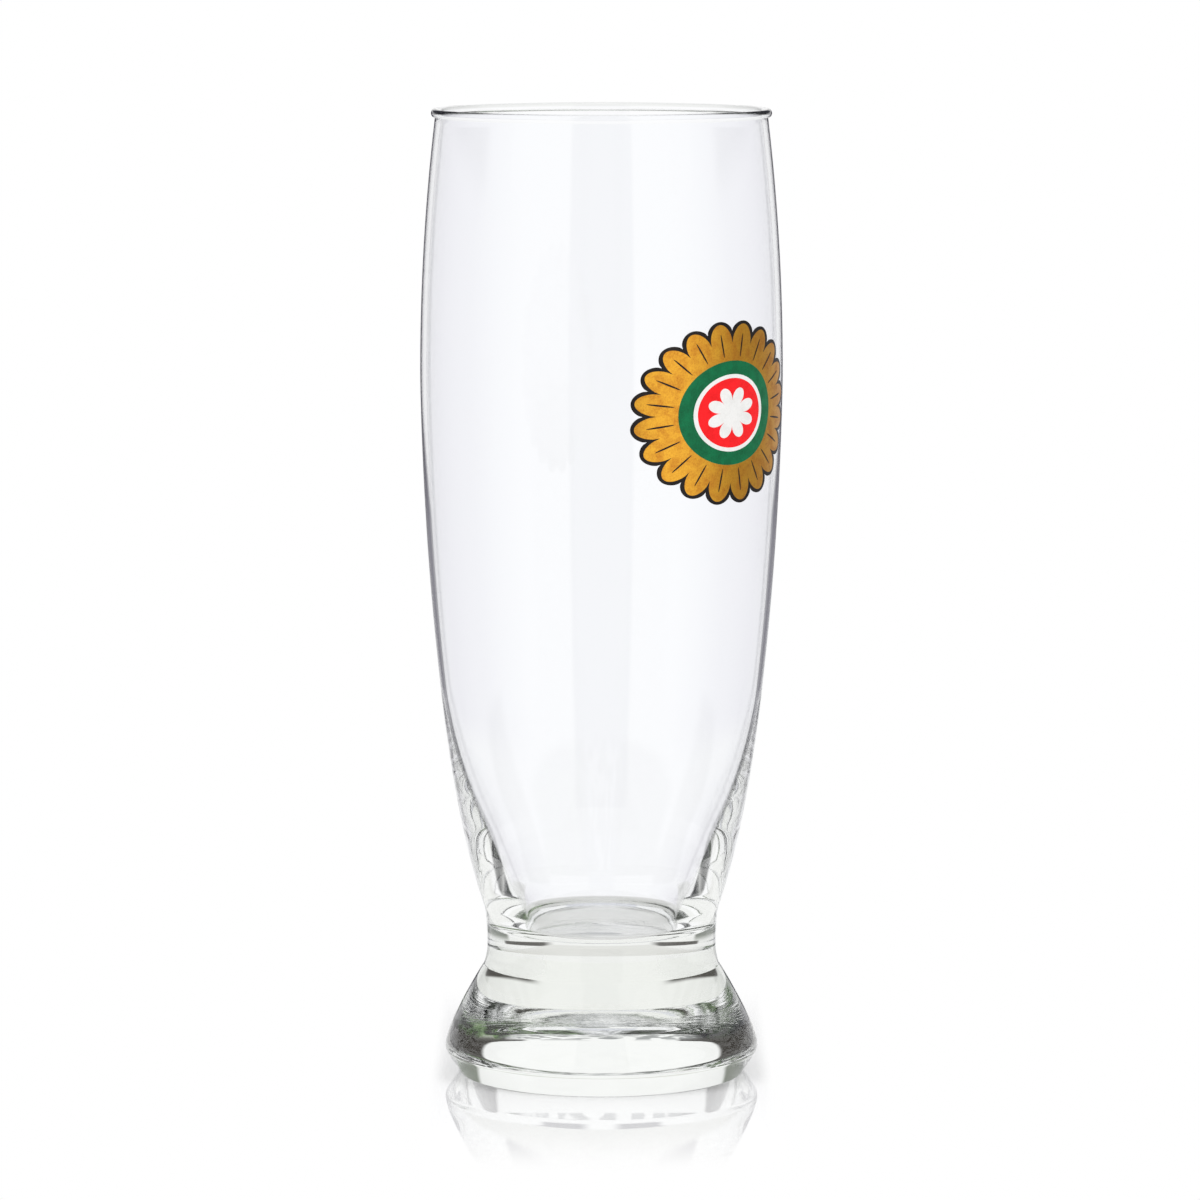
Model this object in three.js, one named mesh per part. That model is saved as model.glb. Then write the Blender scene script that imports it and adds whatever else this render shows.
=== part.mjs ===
// A footed beer glass: a tall blown bowl on a short solid stem and a flared foot,
// with an oval enamel medallion fired on the bowl. Millimetres, +Z up, the table at
// Z = 0 and the axis of the glass on Z. The front of the glass faces -Y.
import * as THREE from 'three';

// Foot, a solid flared base with a shallow hollow under it
const FOOT_HEIGHT = 19.8;
const FOOT_RADIUS = 28.65;
const CREASE_HEIGHT = 4.1; // where the coned heel meets the flank
const CREASE_ROUND = 0.6; // rounding of that meeting
const FLANK_KNEE_HEIGHT = 8.15; // where the tangents of the flank's two ends cross
const HEEL_INSET = 2.75; // from the widest ring in to the bearing ring
const BEARING_WIDTH = 8.9; // flat ring that the glass stands on
const PUNT_DEPTH = 0.4; // hollow inside the bearing ring

// Stem, the short solid neck between foot and bowl
const STEM_HEIGHT = 3.7;
const STEM_FLARE = 0.6; // wider at the foot than at the waist
const WAIST_RADIUS = 20.95; // narrowest ring, where the bowl is fused on

// Bowl, outside
const NECK_RISE = 7.5; // from the waist up to the start of the taper
const NECK_FLARE = 0.65; // wider there than at the waist
const TAPER_SLOPE = 0.35; // radius gained per height at the start of the taper
const TAPER_PULL = 27.9; // how far up that slope is felt
const BELLY_RISE = 104.5; // from the waist up to the widest ring
const BELLY_RADIUS = 32.85;
const BELLY_PULL = 8.2; // how far down the upright tangent of the belly is felt
const MOUTH_RISE = 46.4; // from the belly up to the rim bead
const MOUTH_RADIUS = 30.05; // outside, under the bead
const BEAD_HEIGHT = 1.6; // thickened, fire-polished rim
const BEAD_PROUD = 0.7; // beyond the outside of the wall under it

// Bowl, inside
const WALL = 1.05; // upper wall
const HEEL_WALL = 6.6; // wall at the level of the inside floor
const THICKENING_RISE = 32; // height above the floor where the wall starts to thicken
const THICKENING_ROUND = 12; // how far above and below that level the change is rounded
const FLOOR_THICKNESS = 2.5; // above the joint with the stem
const FLOOR_ROUND = 2.4; // between the inside wall and the floor

// Enamel medallion, an oval built outwards from its middle. Widths are measured up
// and down, and the oval is that much wider across.
const MEDALLION_AZIMUTH = -45; // degrees from +X
const MEDALLION_DROP = 5; // its middle below the belly
const MEDALLION_STRETCH = 1.27; // width over height
const ROSETTE_CORE = 2.2;
const ROSETTE_PETAL_LENGTH = 2.5;
const ROSETTE_PETALS = 8;
const FIELD_WIDTH = 1.5; // field showing beyond the rosette's tips
const KEYLINE_WIDTH = 0.7;
const BAND_WIDTH = 2.4;
const RAY_LENGTH = 6.6;
const RAY_NOTCH = 3.4; // depth of the notch between two rays
const RAY_COUNT = 20;
const OUTLINE_WIDTH = 0.55; // round the tips of the rays
const OUTLINE_FILL = 1.5; // more of it in the notches
const PETAL_BLUNTNESS = 0.6; // under 1 rounds the tips and sharpens the notches
const ENAMEL_THICKNESS = 0.1;
const ENAMEL_CLEARANCE = 0.04; // between the glass and the enamel, and between colours

// How finely the round shapes are faceted
const AROUND = 60;
const NECK_STEPS = 2;
const TAPER_STEPS = 9;
const UPPER_STEPS = 6;
const BEAD_STEPS = 6;
const ROUND_STEPS = 3;
const FLANK_STEPS = 6;
const POINTS_PER_PETAL = 6;
const ENAMEL_STEP = 3.1; // longest facet across a colour, so that it follows the wall

const waistHeight = FOOT_HEIGHT + STEM_HEIGHT;
const bellyHeight = waistHeight + BELLY_RISE;
const beadBottom = bellyHeight + MOUTH_RISE;
const floorHeight = waistHeight + FLOOR_THICKNESS;
const stemFootRadius = WAIST_RADIUS + STEM_FLARE;

const glass = { color: 0xeaf2ee, roughness: 0.02, metalness: 0, transparent: true, opacity: 0.35 };
const enamel = (color) => ({ color, roughness: 0.35, metalness: 0 });
const goldEnamel = { color: 0xb9822c, roughness: 0.3, metalness: 0.8 };

function point(radius, height) {
  return new THREE.Vector2(radius, height);
}

function arc(start, bend, end, steps) {
  return new THREE.QuadraticBezierCurve(start, bend, end).getPoints(steps);
}

function lathe(name, profile, finish) {
  const geometry = new THREE.LatheGeometry(profile, AROUND);
  geometry.rotateX(Math.PI / 2);
  const mesh = new THREE.Mesh(geometry, new THREE.MeshStandardMaterial(finish));
  mesh.name = name;
  return mesh;
}

// The foot from the middle of its underside, round the heel and up the flank
function footProfile() {
  const bearingOuter = point(FOOT_RADIUS - HEEL_INSET, 0);
  const bearingInner = bearingOuter.x - BEARING_WIDTH;
  const punt = arc(
    point(0, PUNT_DEPTH),
    point(bearingInner / 2, PUNT_DEPTH),
    point(bearingInner, 0),
    ROUND_STEPS,
  );
  const crease = point(FOOT_RADIUS, CREASE_HEIGHT);
  const heelSlope = crease.clone().sub(bearingOuter).normalize();
  const flankStart = point(FOOT_RADIUS, CREASE_HEIGHT + CREASE_ROUND);
  const heelTop = arc(
    crease.clone().addScaledVector(heelSlope, -CREASE_ROUND),
    crease,
    flankStart,
    ROUND_STEPS,
  );
  const flank = arc(
    flankStart,
    point(FOOT_RADIUS, FLANK_KNEE_HEIGHT),
    point(stemFootRadius, FOOT_HEIGHT),
    FLANK_STEPS,
  );
  return [...punt, bearingOuter, ...heelTop, ...flank.slice(1), point(0, FOOT_HEIGHT)];
}

// The stem between its two fused faces
function stemProfile() {
  const side = arc(
    point(stemFootRadius, FOOT_HEIGHT),
    point(WAIST_RADIUS, FOOT_HEIGHT + STEM_HEIGHT / 2),
    point(WAIST_RADIUS, waistHeight),
    ROUND_STEPS,
  );
  return [point(0, FOOT_HEIGHT), ...side, point(0, waistHeight)];
}

// The outside of the bowl's wall, from the waist up to the rim bead
function outerWall() {
  const taperStart = point(WAIST_RADIUS + NECK_FLARE, waistHeight + NECK_RISE);
  const neck = arc(
    point(WAIST_RADIUS, waistHeight),
    point(WAIST_RADIUS, taperStart.y - NECK_FLARE / TAPER_SLOPE),
    taperStart,
    NECK_STEPS,
  );
  const taper = new THREE.CubicBezierCurve(
    taperStart,
    point(taperStart.x + TAPER_SLOPE * TAPER_PULL, taperStart.y + TAPER_PULL),
    point(BELLY_RADIUS, bellyHeight - BELLY_PULL),
    point(BELLY_RADIUS, bellyHeight),
  ).getPoints(TAPER_STEPS);
  const upper = arc(
    point(BELLY_RADIUS, bellyHeight),
    point(BELLY_RADIUS, bellyHeight + MOUTH_RISE / 2),
    point(MOUTH_RADIUS, beadBottom),
    UPPER_STEPS,
  );
  return [...neck, ...taper.slice(1), ...upper.slice(1)];
}

const wall = outerWall();

function outerRadius(height) {
  const above = Math.max(1, wall.findIndex((p) => p.y >= height));
  const lower = wall[above - 1];
  const upper = wall[above];
  return THREE.MathUtils.mapLinear(height, lower.y, upper.y, lower.x, upper.x);
}

// The wall is even above and thickens steadily towards the floor, with a rounded start
function innerRadius(height) {
  const sunk = floorHeight + THICKENING_RISE - height;
  const rounded = (sunk + THICKENING_ROUND) ** 2 / (4 * THICKENING_ROUND);
  const eased = Math.abs(sunk) < THICKENING_ROUND ? rounded : Math.max(0, sunk);
  const thickness = WALL + ((HEEL_WALL - WALL) * eased) / THICKENING_RISE;
  return outerRadius(height) - thickness;
}

// The bowl from its fused face, up the outside, over the bead and down the inside
function bowlProfile() {
  const halfBead = BEAD_HEIGHT / 2;
  const beadArc = (reach, first, last, steps) => new THREE.EllipseCurve(
    MOUTH_RADIUS,
    beadBottom + halfBead,
    reach,
    halfBead,
    first,
    last,
  ).getPoints(steps);
  const beadOutside = beadArc(BEAD_PROUD, -Math.PI / 2, Math.PI / 2, BEAD_STEPS);
  const beadInside = beadArc(WALL, Math.PI / 2, Math.PI, ROUND_STEPS);
  const roundTop = floorHeight + FLOOR_ROUND;
  const inside = wall
    .filter((p) => p.y > roundTop)
    .map((p) => point(innerRadius(p.y), p.y))
    .reverse();
  const floorRound = arc(
    point(innerRadius(roundTop), roundTop),
    point(innerRadius(floorHeight), floorHeight),
    point(innerRadius(floorHeight) - FLOOR_ROUND, floorHeight),
    ROUND_STEPS,
  );
  const outside = [point(0, waistHeight), ...wall, ...beadOutside.slice(1), ...beadInside.slice(1)];
  return [...outside, ...inside, ...floorRound, point(0, floorHeight)];
}

// A petal edge swings between 0 in a notch and 1 at a tip
function petal(turn, count) {
  return Math.abs(Math.sin((count * turn) / 2)) ** PETAL_BLUNTNESS;
}

const rosetteReach = ROSETTE_CORE + ROSETTE_PETAL_LENGTH;
const fieldReach = rosetteReach + FIELD_WIDTH;
const keylineReach = fieldReach + KEYLINE_WIDTH;
const bandReach = keylineReach + BAND_WIDTH;
const rayReach = bandReach + RAY_LENGTH;
const outlineReach = rayReach + OUTLINE_WIDTH;

const rosetteEdge = (turn) => ROSETTE_CORE + ROSETTE_PETAL_LENGTH * petal(turn, ROSETTE_PETALS);
const rayEdge = (turn) => rayReach - RAY_NOTCH * (1 - petal(turn, RAY_COUNT));
const outlineEdge = (turn) => outlineReach - (RAY_NOTCH - OUTLINE_FILL) * (1 - petal(turn, RAY_COUNT));
const middle = () => 0;
const oval = (reach) => () => reach;

// A point of the medallion laid on the wall, at a height above the glass
function onWall(reach, turn, lift) {
  const height = bellyHeight - MEDALLION_DROP + reach * Math.sin(turn);
  const across = MEDALLION_STRETCH * reach * Math.cos(turn);
  const radius = outerRadius(height);
  const azimuth = THREE.MathUtils.degToRad(MEDALLION_AZIMUTH) + across / radius;
  const facetSag = ENAMEL_STEP ** 2 / (8 * radius);
  const lifted = radius + facetSag + lift;
  return new THREE.Vector3(lifted * Math.cos(azimuth), lifted * Math.sin(azimuth), height);
}

// The points of an enamel skin, ring by ring on its glass side and then on its open side
function skinPoints(innerEdge, outerEdge, turns, rings) {
  const positions = [];
  for (let side = 0; side < 2; side += 1) {
    const lift = ENAMEL_CLEARANCE + side * ENAMEL_THICKNESS;
    for (let ring = 0; ring <= rings; ring += 1) {
      for (let step = 0; step < turns; step += 1) {
        const turn = (2 * Math.PI * step) / turns;
        const inner = innerEdge === middle ? 0 : innerEdge(turn) + ENAMEL_CLEARANCE;
        const reach = THREE.MathUtils.lerp(inner, outerEdge(turn), ring / rings);
        positions.push(...onWall(reach, turn, lift).toArray());
      }
    }
  }
  return positions;
}

// The faces of such a skin, closed at its edges or over its middle
function skinFaces(solidMiddle, turns, rings) {
  const index = [];
  const row = (side, ring) => (side * (rings + 1) + ring) * turns;
  const add = (a, b, c) => index.push(a, b, c);
  const quad = (a, b, c, d) => {
    add(a, b, c);
    add(a, c, d);
  };
  const firstRing = solidMiddle ? 1 : 0;
  for (let step = 0; step < turns; step += 1) {
    const next = (step + 1) % turns;
    for (let ring = firstRing; ring < rings; ring += 1) {
      quad(row(1, ring) + step, row(1, ring + 1) + step, row(1, ring + 1) + next, row(1, ring) + next);
      quad(row(0, ring) + step, row(0, ring) + next, row(0, ring + 1) + next, row(0, ring + 1) + step);
    }
    quad(row(0, rings) + step, row(0, rings) + next, row(1, rings) + next, row(1, rings) + step);
    if (solidMiddle) {
      add(row(1, 0), row(1, 1) + step, row(1, 1) + next);
      add(row(0, 0), row(0, 1) + next, row(0, 1) + step);
    } else {
      quad(row(0, 0) + step, row(1, 0) + step, row(1, 0) + next, row(0, 0) + next);
    }
  }
  return index;
}

// One colour of enamel: a thin closed skin between an inner and an outer edge, which
// are reaches from the medallion's middle as functions of the turn
function enamelLayer(name, finish, innerEdge, outerEdge, petals) {
  const turns = petals * POINTS_PER_PETAL;
  const width = (turn) => MEDALLION_STRETCH * (outerEdge(turn) - innerEdge(turn));
  const widest = Math.max(width(0), width(Math.PI / petals));
  const rings = Math.ceil(widest / ENAMEL_STEP);
  const positions = skinPoints(innerEdge, outerEdge, turns, rings);
  const geometry = new THREE.BufferGeometry();
  geometry.setAttribute('position', new THREE.Float32BufferAttribute(positions, 3));
  geometry.setIndex(skinFaces(innerEdge === middle, turns, rings));
  geometry.computeVertexNormals();
  const mesh = new THREE.Mesh(geometry, new THREE.MeshStandardMaterial(finish));
  mesh.name = name;
  return mesh;
}

const vessel = new THREE.Group();
vessel.add(
  lathe('foot', footProfile(), glass),
  lathe('stem', stemProfile(), glass),
  lathe('bowl', bowlProfile(), glass),
);

const medallion = new THREE.Group();
medallion.add(
  enamelLayer('print_rosette', enamel(0xf2f1ea), middle, rosetteEdge, ROSETTE_PETALS),
  enamelLayer('print_field', enamel(0xc81f2b), rosetteEdge, oval(fieldReach), ROSETTE_PETALS),
  enamelLayer('print_keyline', enamel(0xf2f1ea), oval(fieldReach), oval(keylineReach), ROSETTE_PETALS),
  enamelLayer('print_band', enamel(0x0f5a34), oval(keylineReach), oval(bandReach), ROSETTE_PETALS),
  enamelLayer('print_rays', goldEnamel, oval(bandReach), rayEdge, RAY_COUNT),
  enamelLayer('print_outline', enamel(0x15130f), rayEdge, outlineEdge, RAY_COUNT),
);

const beerGlass = new THREE.Group();
beerGlass.add(vessel, medallion);

export default beerGlass;
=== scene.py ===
import logging
import math
from dataclasses import dataclass, field
from enum import Enum
from typing import Callable

import bpy
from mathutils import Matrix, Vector


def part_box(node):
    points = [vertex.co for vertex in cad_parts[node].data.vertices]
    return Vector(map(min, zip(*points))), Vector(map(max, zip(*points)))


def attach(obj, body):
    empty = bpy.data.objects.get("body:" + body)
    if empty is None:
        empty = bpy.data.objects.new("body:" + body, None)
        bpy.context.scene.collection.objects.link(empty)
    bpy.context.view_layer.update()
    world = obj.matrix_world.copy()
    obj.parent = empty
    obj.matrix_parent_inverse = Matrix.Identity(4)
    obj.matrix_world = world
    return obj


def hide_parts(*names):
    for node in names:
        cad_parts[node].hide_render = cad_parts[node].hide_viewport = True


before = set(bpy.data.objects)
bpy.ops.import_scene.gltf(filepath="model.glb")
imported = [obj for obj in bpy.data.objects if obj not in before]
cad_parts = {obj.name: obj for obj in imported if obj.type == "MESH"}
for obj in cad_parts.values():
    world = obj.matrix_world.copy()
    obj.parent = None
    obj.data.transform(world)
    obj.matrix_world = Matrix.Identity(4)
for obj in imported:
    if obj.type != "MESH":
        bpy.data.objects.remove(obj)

LOG = logging.getLogger("beer_glass")

MM = 0.001
BODY = "root"
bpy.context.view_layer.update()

# Facets round the axis of a turned piece, and the angle in degrees past which an edge stays sharp
FACETS = 240
SHARP_ANGLE = 30.0
# Distance in metres at which points are welded, and the distance that counts as touching
WELD = 1e-6
HAIR = 1e-7
# Least upright part of a level face's normal
LEVEL = 0.9
# Transmission depths between which light that met solid glass alone is told from light that
# went through both walls of the bowl
SOLID_DEPTH = (3.5, 2.5)
QUARTER_TURN = 90.0
WHITE = (1, 1, 1, 1)
THICK_TINT = (0.955, 0.97, 0.95, 1)

Material = bpy.types.Material
Piece = bpy.types.Object
Socket = bpy.types.NodeSocket
Profile = list[tuple[float, float]]
Line = list[tuple[float, float, float]]
Edge = Callable[[float], float]
FaceTest = Callable[[bpy.types.MeshPolygon], bool]


# Curves and mesh tools

def quadratic(start: tuple, bend: tuple, end: tuple, steps: int) -> Profile:
    """Sample a quadratic curve.

    Args:
        start: First point, as radius and height in millimetres.
        bend: Point where the tangents of the two ends cross.
        end: Last point.
        steps: Number of straight steps.

    Returns:
        The points from start to end.
    """
    a, b, c = Vector(start), Vector(bend), Vector(end)
    shares = [step / steps for step in range(steps + 1)]
    return [tuple(a * (1 - t) ** 2 + b * 2 * t * (1 - t) + c * t * t) for t in shares]


def cubic(start: tuple, pull_a: tuple, pull_b: tuple, end: tuple, steps: int) -> Profile:
    """Sample a cubic curve.

    Args:
        start: First point, as radius and height in millimetres.
        pull_a: Handle of the first point.
        pull_b: Handle of the last point.
        end: Last point.
        steps: Number of straight steps.

    Returns:
        The points from start to end.
    """
    a, b, c, d = Vector(start), Vector(pull_a), Vector(pull_b), Vector(end)
    points = []
    for step in range(steps + 1):
        t = step / steps
        s = 1 - t
        points.append(tuple(a * s ** 3 + b * 3 * s * s * t + c * 3 * s * t * t + d * t ** 3))
    return points


def ellipse_arc(centre: tuple, radii: tuple, first: float, last: float, steps: int) -> Profile:
    """Sample part of an ellipse.

    Args:
        centre: Its middle, as radius and height in millimetres.
        radii: Half its width and half its height.
        first: First angle in degrees, from the outward direction upwards.
        last: Last angle in degrees.
        steps: Number of straight steps.

    Returns:
        The points of the arc.
    """
    points = []
    for step in range(steps + 1):
        angle = math.radians(first + (last - first) * step / steps)
        across, up = radii[0] * math.cos(angle), radii[1] * math.sin(angle)
        points.append((centre[0] + across, centre[1] + up))
    return points


def deselect() -> None:
    """Leave nothing selected, so that an operator acts on the new piece alone."""
    bpy.ops.object.select_all(action="DESELECT")


def take(piece: Piece) -> None:
    """Select one piece alone and make it active.

    Args:
        piece: The piece.
    """
    deselect()
    piece.select_set(True)
    bpy.context.view_layer.objects.active = piece


def draw_lines(name: str, lines: list[Line], closed: bool) -> Piece:
    """Draw polylines as one curve and make it a mesh.

    Args:
        name: Name of the piece.
        lines: Lists of points in metres.
        closed: True to close each line and fill between them.

    Returns:
        The mesh object, selected and active.
    """
    deselect()
    bpy.ops.curve.primitive_bezier_curve_add(location=(0, 0, 0))
    drawn = bpy.context.object
    drawn.data.splines.clear()
    drawn.data.dimensions = "2D" if closed else "3D"
    drawn.data.fill_mode = "BOTH" if closed else "FULL"
    for line in lines:
        spline = drawn.data.splines.new("POLY")
        spline.points.add(len(line) - 1)
        spline.use_cyclic_u = closed
        for knot, place in zip(spline.points, line):
            knot.co = (*place, 1)
    bpy.ops.object.convert(target="MESH")
    piece = bpy.context.object
    piece.name = name
    piece.data.name = name
    return piece


def spin_profile(name: str, profile: Profile) -> Piece:
    """Draw half a section and spin it round the axis of the glass.

    Args:
        name: Name of the piece.
        profile: Radius and height of its points in millimetres, from axis to axis.

    Returns:
        The closed piece, with its faces pointing out.
    """
    piece = draw_lines(name, [[(r * MM, 0, z * MM) for r, z in profile]], closed=False)
    bpy.ops.object.mode_set(mode="EDIT")
    bpy.ops.mesh.select_all(action="SELECT")
    bpy.ops.mesh.spin(steps=FACETS, angle=math.tau, center=(0, 0, 0), axis=(0, 0, 1))
    bpy.ops.mesh.select_all(action="SELECT")
    bpy.ops.mesh.remove_doubles(threshold=WELD)
    bpy.ops.mesh.normals_make_consistent(inside=False)
    bpy.ops.object.mode_set(mode="OBJECT")
    bpy.ops.object.shade_smooth_by_angle(angle=math.radians(SHARP_ANGLE))
    return piece


def level_at(*heights: float) -> FaceTest:
    """Make a test for level faces.

    Args:
        heights: Where the faces lie, in millimetres.

    Returns:
        The test.
    """
    def chosen(face: bpy.types.MeshPolygon) -> bool:
        """Tell whether a face is level and at one of the heights."""
        near = any(abs(face.center.z - height * MM) < HAIR for height in heights)
        return near and abs(face.normal.z) > LEVEL
    return chosen


def assign_faces(piece: Piece, material: Material, chosen: FaceTest) -> None:
    """Give the chosen faces of a piece a material of their own.

    Args:
        piece: The piece, with its main material in the first slot.
        material: Material of the chosen faces.
        chosen: Test for the faces.
    """
    piece.data.materials.append(material)
    take(piece)
    bpy.ops.object.mode_set(mode="EDIT")
    bpy.ops.mesh.select_mode(type="FACE")
    bpy.ops.mesh.select_all(action="DESELECT")
    bpy.ops.object.mode_set(mode="OBJECT")
    for face in piece.data.polygons:
        face.select = chosen(face)
    bpy.ops.object.mode_set(mode="EDIT")
    piece.active_material_index = len(piece.data.materials) - 1
    bpy.ops.object.material_slot_assign()
    bpy.ops.object.mode_set(mode="OBJECT")


def hand_over(piece: Piece, slot: str, *nodes: str) -> None:
    """Let a finished piece ride on the glass and stand for its solids.

    Args:
        piece: The finished piece.
        slot: The record's material slot; not used.
        nodes: The solids that it stands for.
    """
    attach(piece, BODY)
    if nodes:
        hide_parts(*nodes)
    LOG.info("%s: %d faces", piece.name, len(piece.data.polygons))


# Finishes

def grey(level: float) -> tuple:
    """Return the opaque grey of a level from 0 to 1."""
    return (level,) * 3 + (1,)


class NodeGraph:
    """A node tree that is filled with short calls."""

    # A Mix node has sockets for each kind of data, and these are its share and its colours
    MIX_INPUTS = (0, 6, 7)
    MIX_OUTPUT = 2

    def __init__(self, owner: Material | bpy.types.World) -> None:
        """Empty the owner's tree and keep it.

        Args:
            owner: The material or world whose tree is filled.
        """
        owner.use_nodes = True
        self.tree = owner.node_tree
        self.tree.nodes.clear()

    def add(self, kind: str, **settings: object) -> bpy.types.Node:
        """Add a node.

        Args:
            kind: Its type, without the words ShaderNode.
            settings: Values of its properties, or of its inputs by name with _ for a space.

        Returns:
            The node.
        """
        node = self.tree.nodes.new("ShaderNode" + kind)
        for name, value in settings.items():
            if hasattr(node, name):
                setattr(node, name, value)
            else:
                node.inputs[name.replace("_", " ")].default_value = value
        return node

    def join(self, out: Socket, into: Socket) -> None:
        """Link an output to an input."""
        self.tree.links.new(out, into)

    def feed(self, into: Socket, value: object) -> None:
        """Set an input to a plain value, or link an output to it.

        Args:
            into: The input.
            value: Number, colour or output.
        """
        if isinstance(value, Socket):
            self.join(value, into)
        else:
            into.default_value = value

    def maths(self, operation: str, *values: object) -> Socket:
        """Add a Math node.

        Args:
            operation: Its operation.
            values: Sockets or plain numbers, in order.

        Returns:
            Its output.
        """
        node = self.add("Math", operation=operation)
        for into, value in zip(node.inputs, values):
            self.feed(into, value)
        return node.outputs[0]

    def both(self, first: object, second: object) -> Socket:
        """Return the product of two shares."""
        return self.maths("MULTIPLY", first, second)

    def smooth(self, value: Socket, low: object, high: object) -> Socket:
        """Rise smoothly from 0 to 1 between two levels.

        Args:
            value: What is tested.
            low: Level or socket where the rise starts.
            high: Level or socket where it ends.

        Returns:
            The risen value.
        """
        node = self.add("MapRange", interpolation_type="SMOOTHSTEP")
        for name, level in (("Value", value), ("From Min", low), ("From Max", high)):
            self.feed(node.inputs[name], level)
        return node.outputs["Result"]

    def ramp(self, value: Socket, stops: tuple) -> Socket:
        """Add a colour ramp.

        Args:
            value: Its input.
            stops: Place and colour of each stop, in order.

        Returns:
            Its colour.
        """
        node = self.add("ValToRGB")
        elements = node.color_ramp.elements
        elements[0].position, elements[0].color = stops[0]
        elements[1].position, elements[1].color = stops[-1]
        for place, colour in stops[1:-1]:
            elements.new(place).color = colour
        self.join(value, node.inputs[0])
        return node.outputs["Color"]

    def blend(self, share: object, first: object, second: object, way: str = "MIX") -> Socket:
        """Mix two colours.

        Args:
            share: Socket or number, 0 for the first and 1 for the second.
            first: Colour or socket.
            second: Colour or socket.
            way: Blend type of the node.

        Returns:
            The mixed colour.
        """
        node = self.add("Mix", data_type="RGBA", blend_type=way)
        for place, value in zip(self.MIX_INPUTS, (share, first, second)):
            self.feed(node.inputs[place], value)
        return node.outputs[self.MIX_OUTPUT]

    def mix(self, share: Socket, first: Socket, second: Socket) -> Socket:
        """Mix two shaders.

        Args:
            share: 0 for the first and 1 for the second.
            first: Shader.
            second: Shader.

        Returns:
            The mixed shader.
        """
        node = self.add("MixShader")
        for into, value in zip(node.inputs, (share, first, second)):
            self.join(value, into)
        return node.outputs["Shader"]

    def place(self) -> Socket:
        """Return the place on the piece, in metres."""
        return self.add("TexCoord").outputs["Object"]

    def length(self, vector: Socket) -> Socket:
        """Measure a vector.

        Args:
            vector: The vector.

        Returns:
            Its length.
        """
        node = self.add("VectorMath", operation="LENGTH")
        self.join(vector, node.inputs[0])
        return node.outputs["Value"]

    def parts(self, vector: Socket) -> bpy.types.bpy_prop_collection:
        """Take a vector apart.

        Args:
            vector: The vector.

        Returns:
            Its X, Y and Z by name.
        """
        node = self.add("SeparateXYZ")
        self.join(vector, node.inputs[0])
        return node.outputs

    def noise(self, place: Socket, **settings: float) -> Socket:
        """Add a noise texture.

        Args:
            place: Where it is read.
            settings: Values of its inputs by name.

        Returns:
            Its value.
        """
        node = self.add("TexNoise", **settings)
        self.join(place, node.inputs["Vector"])
        return node.outputs["Fac"]

    def emboss(self, shader: bpy.types.Node, height: Socket, depth: float) -> None:
        """Give a shader a relief.

        Args:
            shader: The shader's node.
            height: The relief, as a share of its depth.
            depth: Depth of the relief in metres.
        """
        bump = self.add("Bump", Strength=1.0, Distance=depth)
        self.join(height, bump.inputs["Height"])
        self.join(bump.outputs["Normal"], shader.inputs["Normal"])

    def surface(self, shader: Socket, kind: str = "OutputMaterial") -> None:
        """Link a shader to a new output of a kind."""
        self.join(shader, self.add(kind).inputs["Surface"])


@dataclass(frozen=True)
class ClearGlass:
    """Fire-polished soda-lime glass with the faint waves of the mould, hazy between two heights."""

    name: str
    tint: tuple = (0.985, 0.99, 1.0, 1)
    ior: float = 1.5
    haze: float = 0.0
    haze_low: float = 31 * MM
    haze_high: float = 66 * MM
    haze_fade: float = 5 * MM
    wave_size: float = 3 * MM
    wave_depth: float = 0.00005 * MM

    def relief(self, graph: NodeGraph) -> Socket:
        """Return the height of the surface's faint waves."""
        return graph.noise(graph.place(), Scale=1 / self.wave_size, Detail=1.5, Roughness=0.4)

    def hazy(self, graph: NodeGraph) -> Socket:
        """Spread the haze over its heights.

        Args:
            graph: The material's nodes.

        Returns:
            The roughness of the surface.
        """
        level = graph.parts(graph.place())["Z"]
        above = graph.smooth(level, self.haze_low, self.haze_low + self.haze_fade)
        below = graph.smooth(level, self.haze_high + self.haze_fade, self.haze_high)
        return graph.both(graph.both(above, below), self.haze)

    def material(self) -> Material:
        """Mix the glass.

        Returns:
            The finished material.
        """
        material = bpy.data.materials.new(self.name)
        graph = NodeGraph(material)
        shader = graph.add("BsdfPrincipled", Base_Color=self.tint, Roughness=0.0, IOR=self.ior)
        shader.inputs["Transmission Weight"].default_value = 1.0
        graph.emboss(shader, self.relief(graph), self.wave_depth)
        if self.haze:
            graph.join(self.hazy(graph), shader.inputs["Roughness"])
        graph.surface(shader.outputs["BSDF"])
        return material


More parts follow.
